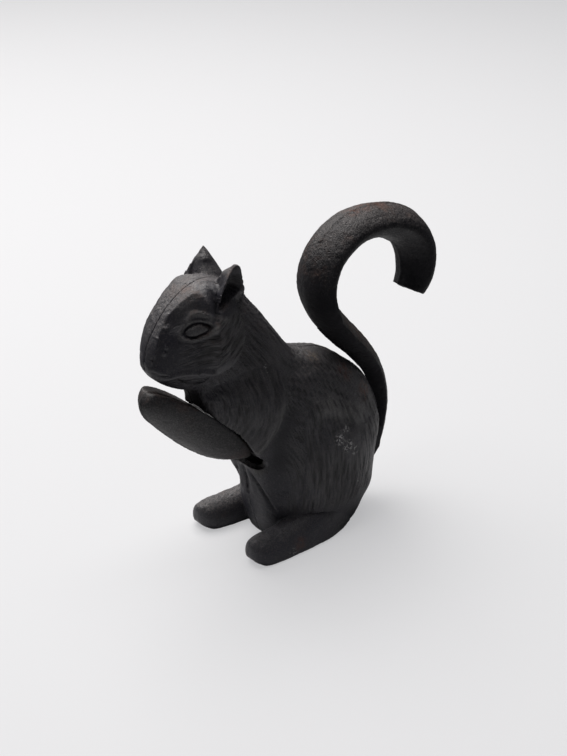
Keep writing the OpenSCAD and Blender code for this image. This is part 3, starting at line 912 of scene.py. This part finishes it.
def build_lever(name):
    """The lever casting: tail, plate with its hub and bore, and forearm, fused."""
    parts = [new_object("tail", *tail_surface()), new_object("arm", *forearm_surface()),
             prism("plate", PLATE, -PLATE_HALF, PLATE_HALF),
             prism("hub", circle(HINGE, HUB_RADIUS, 72), -PLATE_HALF, PLATE_HALF)]
    for o in parts:
        outward(o)
    obj = fuse(name, parts)
    cut(obj, [prism("bore", circle(HINGE, BORE_RADIUS, 72), -9, 9)])
    co = points_of(obj.data)
    mesh = lighten(obj, (np.abs(co[:, 1]) < 4.7) & (np.abs(co[:, 0] - 5) < 40) & (co[:, 2] < 75))
    co, no = points_of(mesh), normals_of(mesh)
    x, y, z = co.T
    on_arm = x < -25
    in_bore = np.hypot(x - HINGE[0], z - HINGE[1]) < 5
    # grain and lumps, and a mould line along the parting plane, away from the plate
    fine = grain_height(co) * np.where(on_arm, 0.45, 0.75)
    h = fine + 0.10 * noise(co, 9.0, 71) * smooth((x - 10) / 10)
    h = (h + 0.6 * bell(y, 1.1) * (np.abs(no[:, 1]) < 0.6) * (np.abs(x + 10) > 30)) * ~in_bore
    flat = (np.abs(np.abs(y) - PLATE_HALF) < 0.3) & (np.abs(no[:, 1]) > 0.9)
    h = np.where(flat, np.minimum(h, 0), h)
    co = co + no * (h - 0.25)[:, None] * ~in_bore[:, None]
    co[:, 2] = np.where(x < -28, np.maximum(co[:, 2], ROOT_LOW), co[:, 2])
    co[:, 0] += X_SHIFT
    set_points(mesh, np.clip(co, np.array(cad_low) / MM + CLEARANCE,
                             np.array(cad_high) / MM - CLEARANCE))
    # painted shade on the tail's flanks, darkest low down and along its front, and a painted
    # highlight on its back edge, which faces the lamps; the grain's pits get painted shade too,
    # and the arm an even pale share and less painted top light
    back = smooth((no[:, 0] - 0.15) / 0.4) * (x > 25)
    dark = smooth((x - 5) / 8) * smooth((160 - z) / 24) * smooth((0.75 - no[:, 2]) / 0.3)
    dark = dark * (1 - back) * np.where(x > 45, 1.0, smooth((148 - z) / 20) * 0.8 + 0.2)
    for key, values in (
            ("groove", np.clip(-fine / 0.12, 0, 1) * 0.5), ("hair", 0 * fine),
            ("worn", np.where(on_arm, 0.3, 0.3 * back * smooth((125 - z) / 12))),
            ("shade", 0.9 * dark), ("dust_top_light", np.where(on_arm, 0.55, 1.0)),
            ("grit", np.where(on_arm, 0.35, 0.6 + 0.8 * smooth(no[:, 2] / 0.6))),
            ("flow", 0 * co)):
        put_attribute(mesh, key, values)
    return obj


# ---------------------------------------------------------------- materials


def feed(tree, socket, value):
    """Links an output to a socket, or sets a number, a colour or a vector on it."""
    if isinstance(value, bpy.types.NodeSocket):
        tree.links.new(value, socket)
    else:
        socket.default_value = (*value, 1.0) if socket.type == "RGBA" else value


def node(tree, kind, inputs=(), **settings):
    """A new shader node with its settings, and then its inputs, by name or by number."""
    n = tree.nodes.new("ShaderNode" + kind)
    for key, value in settings.items():
        setattr(n, key, value)
    for key, value in dict(inputs).items():
        feed(tree, n.inputs[key], value)
    return n


def times(tree, a, b):
    """A node for the product of two values, which are numbers or outputs, as below."""
    return node(tree, "Math", {0: a, 1: b}, operation="MULTIPLY").outputs[0]


def minus(tree, a, b):
    return node(tree, "Math", {0: a, 1: b}, operation="SUBTRACT").outputs[0]


def plus(tree, total, *others):
    for other in others:
        total = node(tree, "Math", {0: total, 1: other}, operation="ADD").outputs[0]
    return total


def ramp(tree, value, low, high, a=0.0, b=1.0):
    """A smooth step from a to b while the value goes from low to high."""
    return node(tree, "MapRange", {"Value": value, "From Min": low, "From Max": high,
                                   "To Min": a, "To Max": b},
                interpolation_type="SMOOTHSTEP").outputs["Result"]


def noise_node(tree, at, scale, detail, rough, distort=0.0):
    return node(tree, "TexNoise", {"Vector": at, "Scale": scale, "Detail": detail,
                                   "Roughness": rough, "Distortion": distort}).outputs["Fac"]


def mix_color(tree, share, a, b):
    return node(tree, "Mix", {0: share, 6: a, 7: b}, data_type="RGBA").outputs[2]


def attribute(tree, name, output="Fac"):
    return node(tree, "Attribute", attribute_name=name).outputs[output]


def facing_up(tree):
    """The upward part of the surface's direction."""
    normal = node(tree, "TexCoord").outputs["Normal"]
    return node(tree, "SeparateXYZ", {0: normal}).outputs["Z"]


def group(name, vector, number, default, outputs):
    """A new node group with named sockets: a vector, a number with its default, and outputs."""
    g = bpy.data.node_groups.new(name, "ShaderNodeTree")
    g.interface.new_socket(vector, in_out="INPUT", socket_type="NodeSocketVector")
    g.interface.new_socket(number, in_out="INPUT",
                           socket_type="NodeSocketFloat").default_value = default
    for n in outputs:
        g.interface.new_socket(n, in_out="OUTPUT", socket_type="NodeSocketFloat")
    gin = g.nodes.new("NodeGroupInput").outputs
    return g, gin[vector], gin[number], g.nodes.new("NodeGroupOutput").inputs


def sand_grain_group():
    """The sand-cast skin: height from fine and middle grains, less the pores, which come in
    clusters."""
    g, at, size, out = group("sand_grain", "Coordinates", "Grain Size", 1.0, ("Height", "Pores"))
    v = node(g, "VectorMath", {0: at, "Scale": size}, operation="SCALE").outputs[0]
    grains = plus(g, times(g, noise_node(g, v, 1500, 3, 0.6), 0.35),
                  times(g, noise_node(g, v, 480, 4, 0.6), 0.65))
    cells = node(g, "TexVoronoi", {"Vector": v, "Scale": 620}).outputs["Distance"]
    pores = times(g, ramp(g, cells, 0.05, 0.32, 1.0, 0.0),
                  ramp(g, noise_node(g, v, 260, 2, 0.5), 0.5, 0.64))
    feed(g, out["Height"], minus(g, grains, times(g, pores, 0.55)))
    feed(g, out["Pores"], pores)
    return g


def rust_cloud_group():
    """Mask of red-brown rust: broad clouds broken by fine noise, more on faces that look up."""
    g, at, amount, out = group("rust_cloud", "Coordinates", "Amount", 0.5, ("Mask", "Tone"))
    broken = noise_node(g, at, 210, 5, 0.65)
    s = plus(g, noise_node(g, at, 24, 3, 0.5, 0.3), times(g, broken, 0.35),
             ramp(g, facing_up(g), -0.2, 1.0, 0.0, 0.16), times(g, amount, 0.3))
    feed(g, out["Mask"], ramp(g, s, 0.86, 1.06))
    feed(g, out["Tone"], broken)
    return g


def hair_strokes_group():
    """Fine hair between the modelled locks: noise drawn out along the hair, from the place
    across and along it in millimetres."""
    g, flow, amount, out = group("hair_strokes", "Flow", "Amount", 1.0, ("Height",))
    layers = []
    for stretch, share in (((0.95, 0.085, 1.0), 0.65), ((1.9, 0.15, 1.0), 0.35)):
        v = node(g, "VectorMath", {0: flow, 1: stretch}, operation="MULTIPLY").outputs[0]
        layers.append(times(g, noise_node(g, v, 1.0, 2, 0.5, 0.25), share))
    feed(g, out["Height"], times(g, ramp(g, plus(g, *layers), 0.34, 0.60), amount))
    return g


def new_material(name):
    """A new material with its node tree and its shader."""
    m = bpy.data.materials.new(name)
    m.use_nodes = True
    return m, m.node_tree, m.node_tree.nodes["Principled BSDF"]


def bump(tree, shader, height, strength, depth):
    n = node(tree, "Bump", {"Strength": strength, "Distance": depth, "Height": height})
    feed(tree, shader.inputs["Normal"], n.outputs[0])


sand_grain, rust_cloud, hair_strokes = (
    sand_grain_group(), rust_cloud_group(), hair_strokes_group())

# tones of the iron, from its plain skin outwards, several of them painted light and shade, and of
# the patches on it
SPECK, DUST_LIT_TONE = (0.085, 0.080, 0.080), (0.116, 0.104, 0.101)
RUST_DARK, RUST_LIGHT = (0.060, 0.034, 0.026), (0.110, 0.060, 0.044)
HAIR_HIGHLIGHT, BARE_AND_LIT = (0.088, 0.084, 0.085), (0.150, 0.146, 0.142)
SHADE_TONE, GROOVE_SHADE, PORE = (0.007, 0.0065, 0.0095), (0.010, 0.009, 0.011), (0.012, 0.011, 0.011)
PALE, RED, TAN_HIGHLIGHT = (0.46, 0.45, 0.45), (0.085, 0.035, 0.024), (0.26, 0.19, 0.13)
PAINTED_SHADOW = (0.012, 0.010, 0.009)


def cast_iron(name, rust_amount, gloss, cool, warm, patches):
    """Bare cast iron that has darkened: a skin clouded from a cool to a warm dark tone, and over
    it specks, a dusting with painted light on the faces that look up, red-brown rust, painted
    highlights on the hair and on the raised parts, which are partly wear, painted shade in the
    hollows and grooves, and dark pores. Patches lie at given places: middle in millimetres,
    reach, colour and strength. Pale ones are broken into chips, the painted shadows are whole,
    and the others are broken into stains."""
    m, t, shader = new_material(name)
    at = node(t, "TexCoord").outputs["Object"]
    grain = node(t, "Group", {"Coordinates": at, "Grain Size": 1.0}, node_tree=sand_grain).outputs
    rust = node(t, "Group", {"Coordinates": at, "Amount": rust_amount},
                node_tree=rust_cloud).outputs
    strands = node(t, "Group", {"Flow": attribute(t, "flow", "Vector"),
                                "Amount": attribute(t, "hair")},
                   node_tree=hair_strokes).outputs["Height"]
    cloud = noise_node(t, at, 38, 4, 0.6, 0.4)
    speck = noise_node(t, at, 1200, 2, 0.7)
    shade = attribute(t, "shade")
    # dusting and painted top light: paler where the surface looks up
    dusty_lit_tops = times(t, ramp(t, facing_up(t), 0.15, 0.95, 0.0, 0.85),
                  ramp(t, speck, 0.40, 0.62, 0.15, 1.0))
    rust_tone = mix_color(t, ramp(t, rust["Tone"], 0.35, 0.65), RUST_DARK, RUST_LIGHT)
    tone = mix_color(t, ramp(t, cloud, 0.35, 0.68), cool, warm)
    for share, layer in (
            (ramp(t, speck, 0.50, 0.70, 0.0, 0.5), SPECK),
            (times(t, dusty_lit_tops, attribute(t, "dust_top_light")), DUST_LIT_TONE),
            (times(t, rust["Mask"], 0.62), rust_tone),
            # painted highlight on the raised hair
            (times(t, strands, 0.6), HAIR_HIGHLIGHT),
            # painted highlight on the raised parts, partly wear
            (times(t, attribute(t, "worn"), ramp(t, speck, 0.30, 0.65, 0.30, 0.80)), BARE_AND_LIT),
            # painted shade in the hollows
            (shade, SHADE_TONE),
            # painted shade in the fur's grooves and the grain's pits
            (times(t, attribute(t, "groove"), 0.75), GROOVE_SHADE),
            (times(t, grain["Pores"], 0.5), PORE)):
        tone = mix_color(t, share, tone, layer)
    stains = ramp(t, noise_node(t, at, 330, 4, 0.65), 0.38, 0.6)
    chips = ramp(t, noise_node(t, at, 720, 3, 0.65), 0.50, 0.58)
    for middle, reach, color, strength in patches:
        d = node(t, "VectorMath", {0: at, 1: [c * MM for c in middle]},
                 operation="DISTANCE").outputs["Value"]
        share = ramp(t, d, reach * MM * 0.15, reach * MM, strength, 0.0)
        broken = {PALE: chips, PAINTED_SHADOW: 1.0}.get(color, stains)
        tone = mix_color(t, times(t, share, broken), tone, color)
    feed(t, shader.inputs["Base Color"], tone)
    feed(t, shader.inputs["Roughness"], plus(
        t, ramp(t, cloud, 0.3, 0.7, 0.46, 0.60), times(t, rust["Mask"], 0.16),
        times(t, shade, 0.3)))
    shader.inputs["Metallic"].default_value = 0.0
    shader.inputs["Specular IOR Level"].default_value = gloss
    height = plus(t, times(t, grain["Height"], attribute(t, "grit")), times(t, strands, 0.8))
    bump(t, shader, height, 0.9, 0.0008)
    return m


def steel(name):
    """Dull plain steel of the pin and screws."""
    m, t, shader = new_material(name)
    at = node(t, "TexCoord").outputs["Object"]
    v = noise_node(t, at, 300, 4, 0.6)
    feed(t, shader.inputs["Base Color"], mix_color(
        t, ramp(t, v, 0.4, 0.7), (0.23, 0.22, 0.21), (0.15, 0.11, 0.09)))
    feed(t, shader.inputs["Roughness"], ramp(t, v, 0.3, 0.7, 0.32, 0.52))
    shader.inputs["Metallic"].default_value = 0.9
    grain = node(t, "Group", {"Coordinates": at, "Grain Size": 1.6}, node_tree=sand_grain).outputs
    bump(t, shader, grain["Height"], 0.2, 0.0001)
    return m


# patches: middle in millimetres, reach, colour, strength
BODY_PATCHES = [(at, reach, PALE, strength) for at, reach, strength in (
    ((-31.3, -17.4, 109.6), 1.8, 1.0), ((-31.0, -18.6, 106.6), 1.8, 1.0),
    ((-30.8, -19.8, 103.6), 1.8, 1.0), ((21.9, -28.9, 40.4), 1.5, 1.0),
    ((22.0, -29.0, 37.0), 1.4, 1.0), ((22.1, -29.1, 33.4), 1.4, 1.0),
    ((22.2, -29.1, 29.6), 1.4, 1.0), ((9.5, -28.5, 58.5), 4.6, 1.0),
    ((15.0, -29.0, 53.5), 5.0, 1.0), ((19.5, -29.0, 49.5), 4.0, 0.9),
    ((15.0, -27.0, 62.5), 3.2, 0.8), ((-26.0, -33.7, 3.6), 3.6, 0.5))] + [
    ((24.1, -14.7, 91.2), 9.0, RED, 0.8), ((37.1, -17.2, 75.9), 9.0, RED, 0.8),
    # the tan patch on the back's top is a painted highlight
    ((-20.5, -33.2, 6.5), 6.0, RED, 0.7), ((4.9, -10.2, 103.0), 7.0, TAN_HIGHLIGHT, 0.3),
    # painted shadow: dark patches in the front cut-out under the arm and in the near ear's pocket
    ((-32.0, -10.5, 47.5), 7.5, PAINTED_SHADOW, 1.0), ((-52.7, -12.8, 152.6), 5.0, PAINTED_SHADOW, 0.3)]
LEVER_PATCHES = [((47.6, 0.0, 173.5), 8.0, RED, 0.9), ((39.5, -1.0, 173.2), 7.0, RED, 0.9),
                 ((58.0, -2.0, 174.5), 6.0, RED, 0.7)]

# ---------------------------------------------------------------- build the pieces

iron_body = cast_iron("iron_body", -0.08, 0.55, (0.0165, 0.0158, 0.0250),
                      (0.0285, 0.0274, 0.0335), BODY_PATCHES)
iron_lever = cast_iron("iron_lever", 0.3, 0.30, (0.0065, 0.0062, 0.0095),
                       (0.0120, 0.0115, 0.0145), LEVER_PATCHES)
steel_plain = steel("steel_plain")

left = build_half("left_half_casting", True)
right = build_half("right_half_casting", False)
lever = build_lever("lever_casting")
for obj, cad, body, iron in ((left, "body_left", "body", iron_body),
                             (right, "body_right", "body", iron_body),
                             (lever, "tail_lever", "lever", iron_lever)):
    obj.data.materials.clear()
    obj.data.materials.append(iron)
    obj.data.shade_smooth()
    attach(obj, body)
    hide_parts(cad)
for n in ("pivot_pin", "body_screw_upper", "body_screw_lower"):
    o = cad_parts[n]
    o.data.materials.clear()
    o.data.materials.append(steel_plain)

# ---------------------------------------------------------------- stage, light and camera


def pale_floor():
    """A pale table, dimmer further out for every ray but the camera's, as in a dark room. The
    camera sees it mixed with an even pale glow, so that the soft shadow stays faint."""
    m, t, shader = new_material("floor_pale")
    shader.inputs["Roughness"].default_value = 0.7
    at = node(t, "TexCoord").outputs["Object"]
    far = node(t, "VectorMath", {0: at}, operation="LENGTH").outputs["Value"]
    camera_ray = node(t, "LightPath").outputs["Is Camera Ray"]
    dim = times(t, ramp(t, far, 0.08, 0.42, 0.1, 0.88), minus(t, 1.0, camera_ray))
    feed(t, shader.inputs["Base Color"], mix_color(
        t, dim, (0.80, 0.80, 0.81), (0.02, 0.02, 0.02)))
    glow = node(t, "Emission", {0: (0.75, 0.75, 0.765)}).outputs[0]
    mixed = node(t, "MixShader", {0: times(t, camera_ray, 0.6), 1: shader.outputs[0], 2: glow})
    feed(t, t.nodes["Material Output"].inputs[0], mixed.outputs[0])
    return m


floor = new_object("floor", [(-6000, -6000, 0), (6000, -6000, 0), (6000, 6000, 0),
                             (-6000, 6000, 0)], [np.array([[0, 1, 2, 3]])])
floor.data.materials.append(pale_floor())

world = bpy.data.worlds.new("soft_room")
bpy.context.scene.world = world
world.use_nodes = True
wt = world.node_tree
wt.nodes.clear()
room_light = node(wt, "Background", {0: (0.80, 0.84, 1.0), 1: 0.042}).outputs[0]
room_seen = node(wt, "Background", {0: (0.97, 0.97, 0.96), 1: 1.0}).outputs[0]
room = node(wt, "MixShader", {0: node(wt, "LightPath").outputs["Is Camera Ray"],
                              1: room_light, 2: room_seen}).outputs[0]
feed(wt, node(wt, "OutputWorld").inputs[0], room)


def aimed(name, data, at, back):
    """A light or camera at a place, with the direction back from what it looks at."""
    o = add_object(name, data)
    o.location = at
    o.rotation_mode = "QUATERNION"
    o.rotation_quaternion = (-back).to_track_quat("-Z", "Y")
    return o


for name, at, size, watts, color in (
        ("key_behind", (0.15, 1.25, 1.15), 1.4, 12.0, (1.0, 0.975, 0.95)),
        ("key_above", (0.0, 0.48, 1.45), 1.6, 32.0, (1.0, 0.985, 0.97))):
    light = bpy.data.lights.new(name, "AREA")
    light.size, light.energy, light.color = size, watts, color
    aimed(name, light, at, Vector(at) - Vector((0, 0, 0.09)))

AZIMUTH, RISE, AWAY = math.radians(38.0), math.radians(25.0), 0.814
MIDDLE = Vector((-0.0063, 0.0, 0.0893))
back = Vector((-math.sin(AZIMUTH) * math.cos(RISE), -math.cos(AZIMUTH) * math.cos(RISE),
               math.sin(RISE)))
camera = bpy.data.cameras.new("camera")
camera.lens, camera.sensor_width, camera.clip_start = 72.0, 36.0, 0.01
bpy.context.scene.camera = aimed("camera", camera, MIDDLE + back * AWAY, back)
bpy.context.scene.view_settings.view_transform = "Standard"
